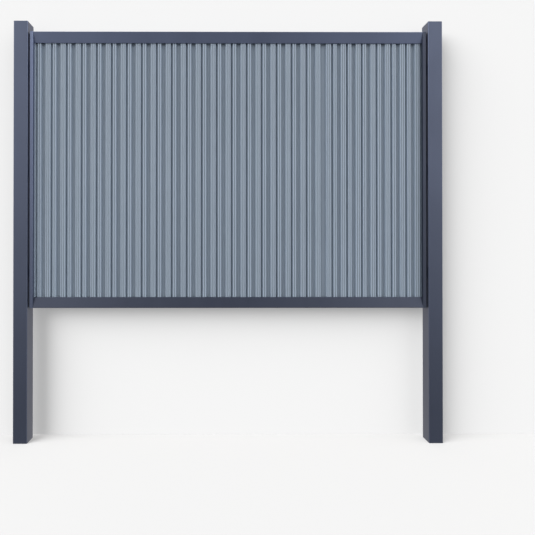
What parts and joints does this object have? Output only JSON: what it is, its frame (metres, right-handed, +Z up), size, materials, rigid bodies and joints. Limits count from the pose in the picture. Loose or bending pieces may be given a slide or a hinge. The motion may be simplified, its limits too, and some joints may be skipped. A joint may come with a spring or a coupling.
{
  "type": "metal privacy fence bay",
  "caption": "Privacy fence bay: square steel posts carrying a channel-framed panel of vertically ribbed sheet, with capped posts and bracketed fixings.",
  "frame": {"origin": "middle of the left post's foot, on the cut end of the tube", "axes": "+X along the fence from the left post to the right post, front faces -Y, +Z up the posts"},
  "size_m": [2.44, 0.08, 2.4],
  "materials": {
    "frame_coat": "dark blue-grey powder coat, semi-gloss",
    "sheet_coat": "light grey coil coat, satin",
    "screw_zinc": "zinc plated steel"
  },
  "bodies": {
    "root": {"post_left": "frame_coat", "post_right": "frame_coat", "post_cap_left": "frame_coat", "post_cap_right": "frame_coat", "stile_left": "frame_coat", "stile_right": "frame_coat", "rail_top": "frame_coat", "rail_bottom": "frame_coat", "infill_sheet_left": "sheet_coat", "infill_sheet_middle": "sheet_coat", "infill_sheet_right": "sheet_coat", "bracket_left_bottom": "frame_coat", "bracket_left_middle": "frame_coat", "bracket_left_top": "frame_coat", "bracket_right_bottom": "frame_coat", "bracket_right_middle": "frame_coat", "bracket_right_top": "frame_coat", "post_screws_left": "screw_zinc", "post_screws_right": "screw_zinc", "stile_screws_left": "screw_zinc", "stile_screws_right": "screw_zinc"}
  },
  "joints": []
}
